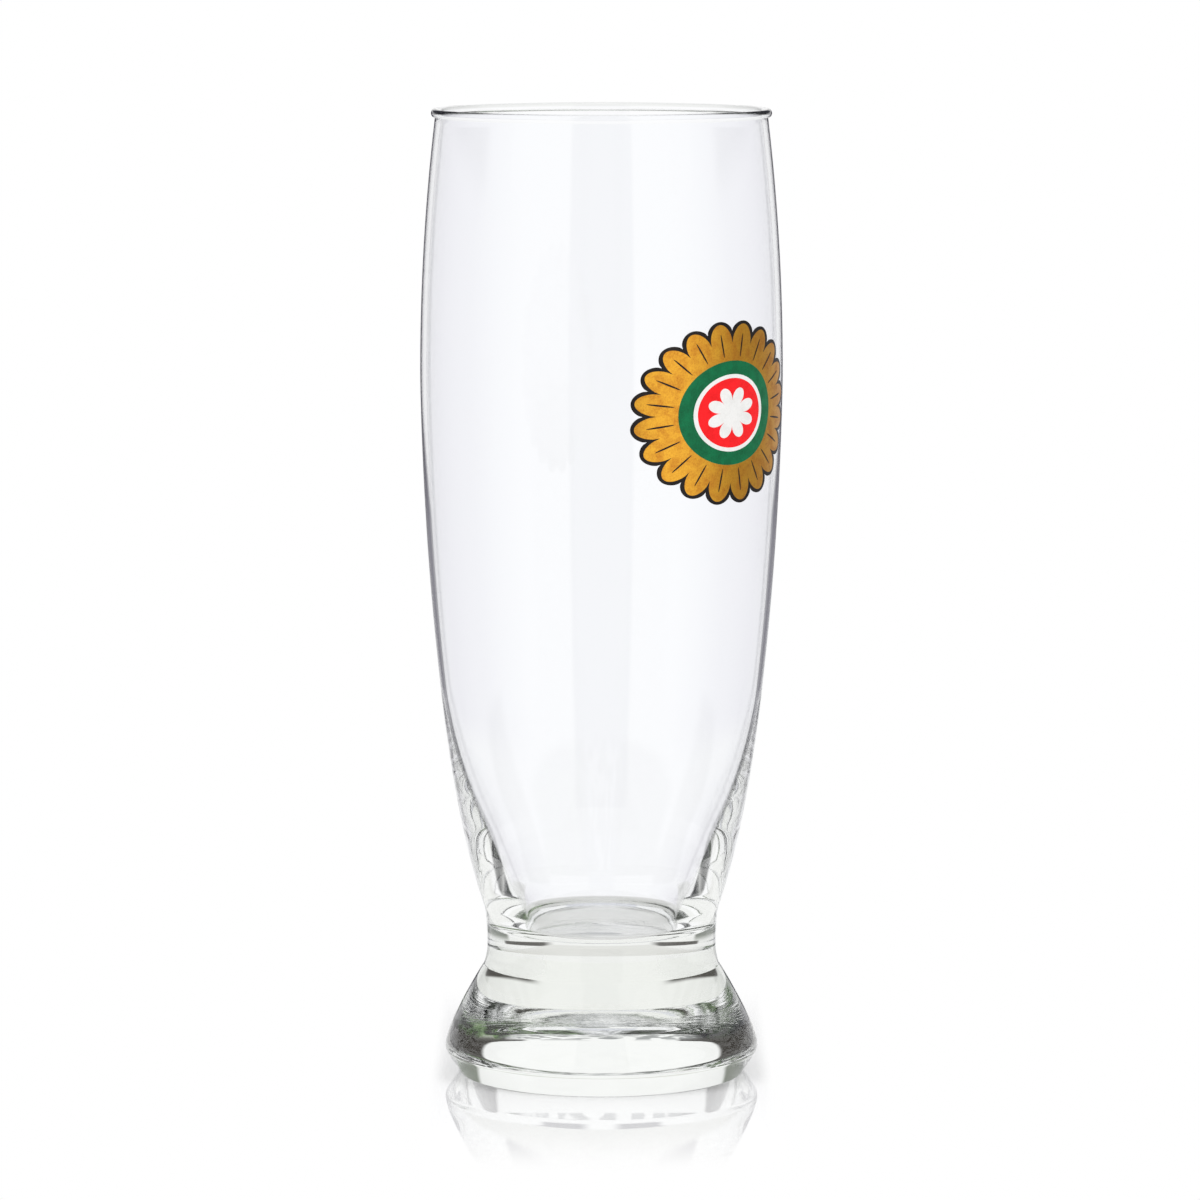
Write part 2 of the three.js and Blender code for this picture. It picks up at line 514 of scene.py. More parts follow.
@dataclass(frozen=True)
class StippledGlass(ClearGlass):
    """The bearing ring's glass, with short raised dashes round the axis on an uneven ground."""

    ground_scale: float = 0.22
    ground_depth: float = 3.0
    wave_depth: float = 0.045 * MM
    dash_length: float = 0.12
    dash_width: float = 0.5 * MM

    def relief(self, graph: NodeGraph) -> Socket:
        """Draw the dashes, which are long round the axis and narrow across.

        Args:
            graph: The material's nodes.

        Returns:
            The height of the dashes on their ground.
        """
        flat = graph.add("VectorMath", operation="MULTIPLY")
        flat.inputs[1].default_value = (1, 1, 0)
        graph.join(graph.place(), flat.inputs[0])
        way = graph.add("VectorMath", operation="NORMALIZE")
        graph.join(flat.outputs["Vector"], way.inputs[0])
        parts = graph.parts(way.outputs["Vector"])
        reach = graph.length(flat.outputs["Vector"])
        spread = graph.add("CombineXYZ")
        for axis in ("X", "Y"):
            along = graph.maths("DIVIDE", parts[axis], self.dash_length)
            graph.join(along, spread.inputs[axis])
        graph.join(graph.maths("DIVIDE", reach, self.dash_width), spread.inputs["Z"])
        place = spread.outputs["Vector"]
        dashes = graph.noise(place, Scale=1.0, Detail=2.0, Roughness=0.6)
        ground = graph.noise(place, Scale=self.ground_scale, Detail=0.0)
        return graph.maths("MULTIPLY_ADD", ground, self.ground_depth, dashes)


@dataclass(frozen=True)
class OpenFace:
    """A face that light passes unbent, such as one inside the glass where two pieces are fused."""

    name: str

    def material(self) -> Material:
        """Make the open face.

        Returns:
            The finished material.
        """
        material = bpy.data.materials.new(self.name)
        graph = NodeGraph(material)
        graph.surface(graph.add("BsdfTransparent").outputs["BSDF"])
        return material


@dataclass(frozen=True)
class Enamel:
    """Fired-on screen enamel with a slight mottle and fine grain."""

    name: str
    colour: tuple
    deep: tuple
    metallic: float = 0.0
    roughness: float = 0.3
    gloss: float = 0.18
    mottle_size: float = 2.2 * MM
    mottle_levels: tuple = (0.38, 0.68)
    grain_size: float = 0.25 * MM
    grain_levels: tuple = (0.35, 0.75)
    grain_share: float = 0.45
    grain_depth: float = 0.01 * MM
    dulling: float = 0.16

    def material(self) -> Material:
        """Mix the enamel.

        Returns:
            The finished material.
        """
        material = bpy.data.materials.new(self.name)
        graph = NodeGraph(material)
        shader = graph.add("BsdfPrincipled", Metallic=self.metallic)
        shader.inputs["Specular IOR Level"].default_value = self.gloss
        place = graph.place()
        mottle = graph.noise(place, Scale=1 / self.mottle_size, Detail=4.0, Roughness=0.6)
        grain = graph.noise(place, Scale=1 / self.grain_size, Detail=2.0)
        patch = graph.both(graph.smooth(mottle, *self.mottle_levels), 1 - self.grain_share)
        speck = graph.smooth(grain, *self.grain_levels)
        share = graph.maths("MULTIPLY_ADD", speck, self.grain_share, patch)
        graph.join(graph.blend(share, self.colour, self.deep), shader.inputs["Base Color"])
        dull = graph.maths("MULTIPLY_ADD", share, self.dulling, self.roughness)
        graph.join(dull, shader.inputs["Roughness"])
        graph.emboss(shader, grain, self.grain_depth)
        graph.surface(shader.outputs["BSDF"])
        return material


class Ink(Enum):
    """The colours of the medallion's enamel, and the bright coat that is printed under them."""

    UNDER = Enamel(
        "bright_underprint", (0.97, 0.97, 0.97, 1), (0.95, 0.95, 0.95, 1),
        metallic=0.95, roughness=0.1, gloss=0.5,
    )
    WHITE = Enamel("white_enamel", (0.80, 0.795, 0.78, 1), (0.70, 0.695, 0.68, 1))
    RED = Enamel("red_enamel", (0.90, 0.012, 0.016, 1), (0.70, 0.006, 0.008, 1))
    GREEN = Enamel("green_enamel", (0.003, 0.15, 0.055, 1), (0.002, 0.085, 0.03, 1))
    GOLD = Enamel(
        "gold_enamel", (0.98, 0.50, 0.05, 1), (0.68, 0.25, 0.03, 1),
        metallic=0.95, roughness=0.28, gloss=0.5,
    )
    BLACK = Enamel("black_enamel", (0.008, 0.006, 0.006, 1), (0.018, 0.014, 0.012, 1))


# The glass, whose sizes are in millimetres

@dataclass
class Foot:
    """The solid flared foot, with its bearing ring and the hollow under it."""

    knee_height: float = 8.15
    crease_height: float = 4.1
    crease_round: float = 0.6
    bearing_radius: float = 25.9
    bearing_width: float = 8.9
    bearing_round: float = 0.06
    punt_depth: float = 0.4
    punt_steps: int = 24
    ring_steps: int = 8
    edge_steps: int = 6
    heel_steps: int = 10
    flank_steps: int = 40
    radius: float = field(init=False)
    height: float = field(init=False)

    def __post_init__(self) -> None:
        """Take the outer sizes from the frame."""
        _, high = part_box("foot")
        self.radius = high[0] / MM
        self.height = high[2] / MM

    @property
    def punt_radius(self) -> float:
        """Radius of the hollow inside the bearing ring."""
        return self.bearing_radius - self.bearing_width

    def profile(self, seam_radius: float) -> Profile:
        """Draw half the section, from the middle of the underside up to the stem.

        Args:
            seam_radius: Radius of the face that is fused to the stem.

        Returns:
            Radius and height of the points in millimetres.
        """
        outer = Vector((self.bearing_radius, 0))
        crease = Vector((self.radius, self.crease_height))
        cone = (crease - outer).normalized()
        inner = self.punt_radius
        middle, bend = (0, self.punt_depth), (inner / 2, self.punt_depth)
        punt = quadratic(middle, bend, (inner, 0), self.punt_steps)
        flat = self.bearing_radius - self.bearing_round
        shares = [step / self.ring_steps for step in range(1, self.ring_steps)]
        ring = [(inner + (flat - inner) * share, 0) for share in shares]
        edge = quadratic((flat, 0), outer, outer + cone * self.bearing_round, self.edge_steps)
        top = (self.radius, self.crease_height + self.crease_round)
        heel = quadratic(crease - cone * self.crease_round, crease, top, self.heel_steps)
        knee = (self.radius, self.knee_height)
        flank = quadratic(top, knee, (seam_radius, self.height), self.flank_steps)
        return [*punt, *ring, *edge, *heel, *flank[1:], (0, self.height)]

    def build(
        self, seam_radius: float, glass: Material, stippled: Material, fused: Material
    ) -> None:
        """Model the foot and dress it.

        Args:
            seam_radius: Radius of the face that is fused to the stem.
            glass: Material of its surface.
            stippled: Material of its bearing ring.
            fused: Material of the face that is fused to the stem.
        """
        piece = spin_profile("flared_foot", self.profile(seam_radius))
        piece.data.materials.append(glass)
        assign_faces(piece, fused, level_at(self.height))
        inner = self.punt_radius * MM
        assign_faces(
            piece, stippled,
            lambda face: face.center.z < HAIR and face.center.xy.length > inner,
        )
        hand_over(piece, "clear_glass", "foot")


@dataclass
class Stem:
    """The short solid neck between foot and bowl."""

    flare: float = 0.6
    side_steps: int = 16
    foot_radius: float = field(init=False)
    waist_radius: float = field(init=False)
    low: float = field(init=False)
    high: float = field(init=False)

    def __post_init__(self) -> None:
        """Take the outer sizes from the frame."""
        low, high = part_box("stem")
        self.foot_radius = high[0] / MM
        self.waist_radius = self.foot_radius - self.flare
        self.low = low[2] / MM
        self.high = high[2] / MM

    def profile(self) -> Profile:
        """Draw half the section, from fused face to fused face.

        Returns:
            Radius and height of the points in millimetres.
        """
        foot, waist = (self.foot_radius, self.low), (self.waist_radius, self.high)
        bend = (self.waist_radius, (self.low + self.high) / 2)
        side = quadratic(foot, bend, waist, self.side_steps)
        return [(0, self.low), *side, (0, self.high)]

    def build(self, glass: Material, fused: Material) -> None:
        """Model the stem and dress it.

        Args:
            glass: Material of its side.
            fused: Material of its two fused faces.
        """
        piece = spin_profile("stem_neck", self.profile())
        piece.data.materials.append(glass)
        assign_faces(piece, fused, level_at(self.low, self.high))
        hand_over(piece, "clear_glass", "stem")


@dataclass
class Bowl:
    """The blown bowl, thin above and thick towards its floor, with a rim bead."""

    neck_rise: float = 7.5
    neck_flare: float = 0.65
    neck_steps: int = 16
    taper_slope: float = 0.35
    taper_pull: float = 27.9
    taper_steps: int = 70
    belly_rise: float = 104.5
    belly_pull: float = 8.2
    mouth_radius: float = 30.05
    mouth_steps: int = 36
    bead_height: float = 1.6
    bead_proud: float = 0.7
    bead_steps: int = 24
    lip_steps: int = 12
    wall: float = 1.05
    heel_wall: float = 6.6
    thickening_rise: float = 32.0
    thickening_round: float = 12.0
    floor_thickness: float = 2.5
    floor_round: float = 2.4
    floor_steps: int = 14
    waist: float = field(init=False)
    belly_radius: float = field(init=False)
    rim: float = field(init=False)
    outside: Profile = field(init=False)

    def __post_init__(self) -> None:
        """Take the outer sizes from the frame."""
        low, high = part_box("bowl")
        self.waist = low[2] / MM
        self.rim = high[2] / MM
        self.belly_radius = high[0] / MM

    @property
    def belly(self) -> float:
        """Height of the widest ring."""
        return self.waist + self.belly_rise

    @property
    def floor(self) -> float:
        """Height of the inside floor."""
        return self.waist + self.floor_thickness

    def draw_outside(self, waist_radius: float) -> None:
        """Draw the outside of the wall from the waist to the bead.

        Args:
            waist_radius: Radius of the face that is fused to the stem.
        """
        start = (waist_radius + self.neck_flare, self.waist + self.neck_rise)
        neck_bend = (waist_radius, start[1] - self.neck_flare / self.taper_slope)
        neck = quadratic((waist_radius, self.waist), neck_bend, start, self.neck_steps)
        belly = (self.belly_radius, self.belly)
        pull_low = (start[0] + self.taper_slope * self.taper_pull, start[1] + self.taper_pull)
        pull_high = (self.belly_radius, self.belly - self.belly_pull)
        taper = cubic(start, pull_low, pull_high, belly, self.taper_steps)
        mouth = (self.mouth_radius, self.rim - self.bead_height)
        mouth_bend = (self.belly_radius, (self.belly + mouth[1]) / 2)
        upper = quadratic(belly, mouth_bend, mouth, self.mouth_steps)
        self.outside = [*neck, *taper[1:], *upper[1:]]

    def outer_radius(self, height: float) -> float:
        """Measure the outside of the wall.

        Args:
            height: Where it is measured, in millimetres.

        Returns:
            Its radius in millimetres.
        """
        for (r_low, z_low), (r_high, z_high) in zip(self.outside, self.outside[1:]):
            if height <= z_high:
                return r_low + (r_high - r_low) * (height - z_low) / (z_high - z_low)
        return self.mouth_radius

    def inner_radius(self, height: float) -> float:
        """Measure the inside of the wall, which leans in where the wall thickens.

        Args:
            height: Where it is measured, in millimetres.

        Returns:
            Its radius in millimetres.
        """
        sunk = self.floor + self.thickening_rise - height
        half = self.thickening_round
        eased = max(0.0, sunk) if abs(sunk) > half else (sunk + half) ** 2 / (4 * half)
        thickness = self.wall + (self.heel_wall - self.wall) * eased / self.thickening_rise
        return self.outer_radius(height) - thickness

    def profile(self) -> Profile:
        """Draw half the section, up the outside, over the bead and down the inside.

        Returns:
            Radius and height of the points in millimetres.
        """
        half = self.bead_height / 2
        middle = (self.mouth_radius, self.rim - half)
        bead = ellipse_arc(middle, (self.bead_proud, half), -90, 90, self.bead_steps)
        lip = ellipse_arc(middle, (self.wall, half), 90, 180, self.lip_steps)
        round_top = self.floor + self.floor_round
        inside = [(self.inner_radius(z), z) for _, z in self.outside if z > round_top]
        heel = self.inner_radius(self.floor)
        floor_round = quadratic(
            (self.inner_radius(round_top), round_top),
            (heel, self.floor),
            (heel - self.floor_round, self.floor),
            self.floor_steps,
        )
        outside = [(0, self.waist), *self.outside, *bead[1:], *lip[1:]]
        return [*outside, *inside[::-1], *floor_round, (0, self.floor)]

    def build(self, glass: Material, fused: Material) -> None:
        """Model the bowl and dress it.

        Args:
            glass: Material of its surface.
            fused: Material of the face that is fused to the stem.
        """
        piece = spin_profile("blown_bowl", self.profile())
        piece.data.materials.append(glass)
        assign_faces(piece, fused, level_at(self.waist))
        hand_over(piece, "clear_glass", "bowl")


@dataclass
class Medallion:
    """The oval enamel medallion, built outwards from its middle.

    The azimuth is in degrees. The stretch is how much wider than high it is.
    """

    azimuth: float = -45.0
    drop: float = 5.0
    stretch: float = 1.27
    rosette_core: float = 2.2
    rosette_petal: float = 2.5
    rosette_petals: int = 8
    field_width: float = 1.5
    keyline_width: float = 0.7
    band_width: float = 2.4
    ray_length: float = 6.6
    ray_notch: float = 3.4
    rays: int = 20
    outline_width: float = 0.55
    outline_fill: float = 1.5
    bluntness: float = 0.6
    vein_start: float = 0.7
    vein_length: float = 4.2
    vein_width: float = 0.32
    vein_lift: float = 0.02
    vein_steps: int = 24
    plain_steps: int = 240
    petal_steps: int = 480
    sunk: float = 0.03
    proud: float = 0.06
    cut_step: float = 1.0
    sharp_angle: float = 40.0
    inward: float = -0.7
    materials: dict[Ink, Material] = field(init=False)

    def __post_init__(self) -> None:
        """Mix the inks."""
        self.materials = {ink: ink.value.material() for ink in Ink}

    def petal(self, turn: float, count: int) -> float:
        """Swing between 0 in a notch and 1 at a tip."""
        return abs(math.sin(count * turn / 2)) ** self.bluntness

    def rosette_edge(self, turn: float) -> float:
        """Reach of the rosette's edge from the middle, in millimetres."""
        return self.rosette_core + self.rosette_petal * self.petal(turn, self.rosette_petals)

    def ray_edge(self, turn: float) -> float:
        """Reach of the rays' edge from the middle, in millimetres."""
        return self.ray_reach - self.ray_notch * (1 - self.petal(turn, self.rays))

    def outline_edge(self, turn: float) -> float:
        """Reach of the outline's edge from the middle, in millimetres."""
        depth = self.ray_notch - self.outline_fill
        return self.ray_reach + self.outline_width - depth * (1 - self.petal(turn, self.rays))

    @property
    def field_reach(self) -> float:
        """Reach of the field."""
        return self.rosette_core + self.rosette_petal + self.field_width

    @property
    def keyline_reach(self) -> float:
        """Reach of the keyline."""
        return self.field_reach + self.keyline_width

    @property
    def band_reach(self) -> float:
        """Reach of the band."""
        return self.keyline_reach + self.band_width

    @property
    def ray_reach(self) -> float:
        """Reach of the rays' tips."""
        return self.band_reach + self.ray_length

    def line(self, edge: Edge, steps: int) -> Line:
        """Draw a closed edge flat.

        Args:
            edge: Reach of the edge by its turn, in millimetres.
            steps: Number of straight steps.

        Returns:
            Its points in metres.
        """
        points = []
        for step in range(steps):
            turn = math.tau * step / steps
            reach = edge(turn) * MM
            points.append((self.stretch * reach * math.cos(turn), reach * math.sin(turn), 0))
        return points

    def vein(self, ray: int) -> Line:
        """Draw the fine leaf-shaped line along the middle of a ray flat.

        Args:
            ray: Number of the ray.

        Returns:
            Its points in metres.
        """
        turn = math.tau * (ray + 0.5) / self.rays
        first = self.band_reach + self.vein_start
        points = []
        for step in range(self.vein_steps):
            along = math.tau * step / self.vein_steps
            reach = (first + self.vein_length * (1 - math.cos(along)) / 2) * MM
            aside = self.vein_width * MM / 2 * math.sin(along)
            across = self.stretch * reach * math.cos(turn) - aside * math.sin(turn)
            points.append((across, reach * math.sin(turn) + aside * math.cos(turn), 0))
        return points

    def cut(self, piece: Piece) -> None:
        """Cut a flat piece into narrow strips both ways, so that it can follow the wall.

        Args:
            piece: The flat piece.
        """
        low = [min(v.co[axis] for v in piece.data.vertices) for axis in (0, 1)]
        high = [max(v.co[axis] for v in piece.data.vertices) for axis in (0, 1)]
        bpy.ops.object.mode_set(mode="EDIT")
        for axis, normal in ((0, (1, 0, 0)), (1, (0, 1, 0))):
            count = math.ceil((high[axis] - low[axis]) / (self.cut_step * MM))
            for step in range(1, count):
                place = low[axis] + (high[axis] - low[axis]) * step / count
                bpy.ops.mesh.select_all(action="SELECT")
                bpy.ops.mesh.bisect(plane_co=tuple(place * n for n in normal), plane_no=normal)
        bpy.ops.object.mode_set(mode="OBJECT")

    def wrap(self, piece: Piece, bowl: Bowl, lift: float) -> None:
        """Lay a flat piece round the bowl.

        Args:
            piece: The flat piece, with its middle at the origin.
            bowl: The bowl that carries it.
            lift: Height above the glass in millimetres.
        """
        middle = bowl.belly - self.drop
        for vertex in piece.data.vertices:
            across, up, _ = vertex.co
            height = middle + up / MM
            radius = bowl.outer_radius(height)
            turn = math.radians(self.azimuth) + across / MM / radius
            reach = (radius + lift) * MM
            vertex.co = (reach * math.cos(turn), reach * math.sin(turn), height * MM)

    def thicken(self, piece: Piece) -> None:
        """Turn a wrapped piece's faces outwards and give it thickness.

        Args:
            piece: The wrapped piece.
        """
        take(piece)
        bpy.ops.object.mode_set(mode="EDIT")
        bpy.ops.mesh.select_all(action="SELECT")
        bpy.ops.mesh.remove_doubles(threshold=HAIR)
        bpy.ops.mesh.normals_make_consistent(inside=False)
        bpy.ops.object.mode_set(mode="OBJECT")
        sample = piece.data.polygons[0]
        outward = Vector((sample.center.x, sample.center.y, 0))
        if sample.normal.dot(outward) < 0:
            piece.data.flip_normals()
        solid = piece.modifiers.new("ink", "SOLIDIFY")
        solid.thickness = (self.proud + self.sunk) * MM
        solid.offset = -1.0
        bpy.ops.object.modifier_apply(modifier=solid.name)
        bpy.ops.object.shade_smooth_by_angle(angle=math.radians(self.sharp_angle))

    def layer(
        self, name: str, ink: Ink, lines: list[Line], bowl: Bowl, lift: float = 0.0
    ) -> Piece:
        """Print one colour: draw it, cut it, lay it on the bowl and give it thickness.

        Args:
            name: Name of the piece.
            ink: Its colour.
            lines: Its closed edges, flat, in metres.
            bowl: The bowl that carries it.
            lift: Height above the other colours in millimetres.

        Returns:
            The finished piece.
        """
        piece = draw_lines(name, lines, closed=True)
        self.cut(piece)
        self.wrap(piece, bowl, self.proud + lift)
        self.thicken(piece)
        piece.data.materials.append(self.materials[ink])
        assign_faces(
            piece, self.materials[Ink.UNDER],
            lambda face: face.normal.xy.dot(face.center.xy.normalized()) < self.inward,
        )
        return piece

    def build(self, bowl: Bowl) -> None:
        """Print every colour on the bowl.

        Args:
            bowl: The bowl that carries the medallion.
        """
        rosette = self.line(self.rosette_edge, self.petal_steps)
        around = self.line(lambda turn: self.field_reach, self.plain_steps)
        keyline = self.line(lambda turn: self.keyline_reach, self.plain_steps)
        band = self.line(lambda turn: self.band_reach, self.plain_steps)
        rays = self.line(self.ray_edge, self.petal_steps)
        outline = self.line(self.outline_edge, self.petal_steps)
        colours = (
            ("enamel_rosette", Ink.WHITE, [rosette], "white_enamel", "print_rosette"),
            ("enamel_field", Ink.RED, [rosette, around], "red_enamel", "print_field"),
            ("enamel_keyline", Ink.WHITE, [around, keyline], "white_enamel", "print_keyline"),
            ("enamel_band", Ink.GREEN, [keyline, band], "green_enamel", "print_band"),
            ("enamel_rays", Ink.GOLD, [band, rays], "gold_enamel", "print_rays"),
            ("enamel_outline", Ink.BLACK, [rays, outline], "black_enamel", "print_outline"),
        )
        for name, ink, lines, slot, node in colours:
            hand_over(self.layer(name, ink, lines, bowl), slot, node)
        veins = [self.vein(ray) for ray in range(self.rays)]
        piece = self.layer("enamel_veins", Ink.BLACK, veins, bowl, self.vein_lift)
        hand_over(piece, "black_enamel")


# The studio, whose sizes are in metres

@dataclass
class Sky:
    """What the glass sees round it, by direction and by the way that the light took.

    The turn is the angle from straight behind the glass to either side, the rise the angle over
    the horizon and the fall the angle under it, all in degrees. Light has a pattern of its own
    where it goes straight through the bowl, straight through solid glass, is mirrored inside the
    glass, or is mirrored by its skin. Starts and ends of lines pair a rise or fall with a turn,
    and the stops of behind, behind_low and ahead pair a share of half a turn with a colour.
    """

    ambient: float = 0.75
    reach: float = 45.0
    line_start: tuple = (
        (6.5, 4.0), (8.0, 10.0), (9.0, 13.5), (11.0, 19.0), (14.0, 18.0),
        (21.0, 15.0), (29.0, 18.0), (35.0, 22.0), (37.0, 25.0),
    )
    line_end: tuple = (
        (5.4, 15.5), (7.4, 27.0), (12.0, 28.5), (22.0, 31.0), (30.0, 34.0), (37.0, 38.0),
    )
    skin_start: tuple = (
        (6.5, 4.0), (8.0, 9.5), (9.3, 12.5), (11.3, 18.0), (13.0, 22.0), (15.0, 25.5),
        (20.0, 36.0),
    )
    skin_end: tuple = ((5.4, 15.5), (7.4, 26.5), (12.4, 26.5), (16.3, 32.5), (20.0, 38.0))
    line_colours: tuple = (
        (5.4, (0.06, 0.055, 0.075, 1)),
        (7.4, (0.26, 0.255, 0.285, 1)),
        (11.0, (0.2, 0.195, 0.22, 1)),
        (21.0, (0.06, 0.06, 0.07, 1)),
        (28.0, (0.02, 0.02, 0.025, 1)),
    )
    line_soft: tuple = (2.0, 1.5)
    line_rise: tuple = (3.0, 0.0)
    rim_turn: tuple = (6.0, 16.0, 60.0, 80.0)
    rim_rise: tuple = (3.0, 6.0)
    rim_colour: tuple = (0.1, 0.1, 0.12, 1)
    wall_turn: tuple = (34.0, 40.0, 77.0, 83.0)
    wall_rise: tuple = (-2.0, 1.0)
    wall_colour: tuple = (0.04, 0.036, 0.042, 1)
    solid_turn: tuple = (41.0, 45.0, 95.0, 105.0)
    solid_rise: tuple = (-16.0, -7.0)
    solid_colour: tuple = (0.2, 0.22, 0.18, 1)
    flat_start: tuple = ((13.5, 36.0), (15.0, 35.0), (16.3, 32.5), (17.0, 28.0), (17.5, 20.0))
    flat_soft: float = 1.5
    flat_end: tuple = (100.0, 90.0)
    flat_rise: tuple = (3.0, 6.0)
    flat_colour: tuple = (0.05, 0.045, 0.038, 1)
    ceiling_rise: tuple = (17.0, 21.0)
    ceiling_turn: tuple = (22.0, 32.0, 155.0, 170.0)
    stripe_turn: tuple = (158.0, 160.5)
    stripe: tuple = (0.72, 0.73, 0.78, 1)
    # Painted reflections overhead for light mirrored inside the glass: a grey mottle, and painted
    # shade that darkens the marbling on one side (dim_side)
    mottle_scale: float = 14.0
    mottle_levels: tuple = (0.44, 0.56)
    mottle: tuple = (0.36, 0.37, 0.37, 1)
    dim_from: tuple = (0.1, -0.1)
    dim_side: tuple = (0.2, 0.18, 0.22, 1)
    floor_rise: tuple = (-5.5, -7.0)
    floor_colour: tuple = (0.91, 0.915, 0.895, 1)
    # Painted shadow: a dark streak, seen through solid glass, that stands in for the shaded table
    # just behind the foot
    streak_turn: tuple = (16.0, 22.0, 46.0, 50.0)
    streak_slope: float = 0.11
    streak_rise: tuple = (-11.8, -11.0, -8.3, -7.7)
    streak_colour: tuple = (0.09, 0.085, 0.075, 1)
    behind: tuple = (
        (0.0, (1.0, 1.0, 1.0, 1)),
        (0.007, (1.0, 1.0, 1.0, 1)),
        (0.012, (0.975, 0.975, 0.985, 1)),
        (0.018, (0.95, 0.945, 0.965, 1)),
        (0.038, (0.9, 0.89, 0.925, 1)),
        (0.1, (0.85, 0.84, 0.88, 1)),
    )
    low_rise: tuple = (-10.0, -16.0)
    behind_low: tuple = (
        (0.0, (1.0, 1.0, 1.0, 1)),
        (0.03, (1.0, 1.0, 1.0, 1)),
        (0.05, (0.97, 0.97, 0.98, 1)),
        (0.075, (0.9, 0.895, 0.915, 1)),
        (0.1, (0.84, 0.83, 0.86, 1)),
    )
    # Painted reflection: marbled greens and darks overhead, which light mirrored inside the glass
    # shows as tinted and dark patches
    marble_scale: float = 5.0
    marble: tuple = (
        (0.3, (0.015, 0.014, 0.012, 1)),
        (0.45, (0.04, 0.045, 0.03, 1)),
        (0.53, (0.1, 0.17, 0.07, 1)),
        (0.6, (0.2, 0.29, 0.14, 1)),
        (0.66, (0.4, 0.43, 0.36, 1)),
        (0.74, (0.08, 0.08, 0.06, 1)),
    )
    ahead: tuple = (
        (0.0, (1.0, 1.0, 1.0, 1)),
        (0.1, (0.75, 0.75, 0.77, 1)),
        (0.2, (0.45, 0.45, 0.47, 1)),
        (0.35, (0.35, 0.35, 0.37, 1)),
        (0.5, (0.35, 0.35, 0.37, 1)),
        (0.58, (0.65, 0.65, 0.66, 1)),
        (0.7, (1.0, 1.0, 1.0, 1)),
        (0.878, (1.0, 1.0, 1.0, 1)),
        (0.89, (0.42, 0.43, 0.46, 1)),
        (1.0, (0.42, 0.43, 0.46, 1)),
    )
    graph: NodeGraph = field(init=False)
    side: Socket = field(init=False)
    turn: Socket = field(init=False)
    rise: Socket = field(init=False)
    clouds: Socket = field(init=False)
    specks: Socket = field(init=False)

    def past(self, value: Socket, low: float, high: float) -> Socket:
        """Return 0 on the near side of one angle and 1 beyond another."""
        return self.graph.smooth(value, math.radians(low), math.radians(high))

    def band(self, value: Socket, angles: tuple) -> Socket:
        """Return 1 between the middle two of four angles, falling to 0 at the outer two."""
        first, second, third, last = angles
        return self.graph.both(self.past(value, first, second), self.past(value, last, third))

    def half_turns(self) -> Socket:
        """Return the turn as a share of half a turn."""
        return self.graph.maths("DIVIDE", self.turn, math.pi)

    def slanted(self, stops: tuple, sign: int) -> Socket:
        """Draw a turn that changes with the rise or the fall.

        Args:
            stops: Pairs of an angle over or under the horizon and the turn there.
            sign: 1 for angles over the horizon and -1 for angles under it.

        Returns:
            The turn in radians.
        """
        along = self.graph.both(self.rise, sign / math.radians(self.reach))
        places = tuple((angle / self.reach, grey(turn / QUARTER_TURN)) for angle, turn in stops)
        return self.graph.both(self.graph.ramp(along, places), math.radians(QUARTER_TURN))

    def beyond(self, angle: Socket, soft: float) -> Socket:
        """Tell where the turn is over a changing angle.

        Args:
            angle: The angle in radians.
            soft: Half the width of the edge in degrees.

        Returns:
            0 under the angle and 1 over it.
        """
        half = math.radians(soft)
        low = self.graph.maths("SUBTRACT", angle, half)
        return self.graph.smooth(self.turn, low, self.graph.maths("ADD", angle, half))

    def dark_line(self, seen: Socket, start: tuple, end: tuple) -> Socket:
        """Set the narrow flats that draw the dark lines along the wall before what is seen.

        Args:
            seen: Colour of what stands behind them.
            start: Turns where the flats start, by the fall.
            end: Turns where they end.

        Returns:
            The colour with the flats.
        """
        graph = self.graph
        soft_start, soft_end = self.line_soft
        after = self.beyond(self.slanted(start, -1), soft_start)
        until = self.beyond(self.slanted(end, -1), soft_end)
        inside = graph.maths("MAXIMUM", graph.maths("SUBTRACT", after, until), 0.0)
        inside = graph.both(inside, self.past(self.rise, *self.line_rise))
        fall = graph.maths("DIVIDE", self.rise, -math.radians(self.reach))
        colours = tuple((angle / self.reach, colour) for angle, colour in self.line_colours)
        return graph.blend(inside, seen, graph.ramp(fall, colours))

    def through_wall(self) -> Socket:
        """Paint what is seen straight through the bowl.

        Returns:
            Its colour.
        """
        graph = self.graph
        flat = graph.both(
            self.band(self.turn, self.wall_turn), self.past(self.rise, *self.wall_rise)
        )
        share = self.half_turns()
        high, low = graph.ramp(share, self.behind), graph.ramp(share, self.behind_low)
        behind = graph.blend(self.past(self.rise, *self.low_rise), high, low)
        return graph.blend(flat, behind, self.wall_colour)

    def through_solid(self) -> Socket:
        """Paint what is seen straight through the foot and the stem.

        Returns:
            Its colour.
        """
        graph = self.graph
        flat = graph.both(
            self.band(self.turn, self.solid_turn), self.past(self.rise, *self.solid_rise)
        )
        seen = graph.blend(self.past(self.rise, *self.floor_rise), WHITE, self.floor_colour)
        seen = graph.blend(flat, seen, self.solid_colour)
        # Painted shadow of the table just behind the foot, drawn as a dark streak
        slope = graph.maths("MULTIPLY_ADD", self.turn, self.streak_slope, self.rise)
        streak = graph.both(
            self.band(self.turn, self.streak_turn), self.band(slope, self.streak_rise)
        )
        return graph.blend(streak, seen, self.streak_colour)

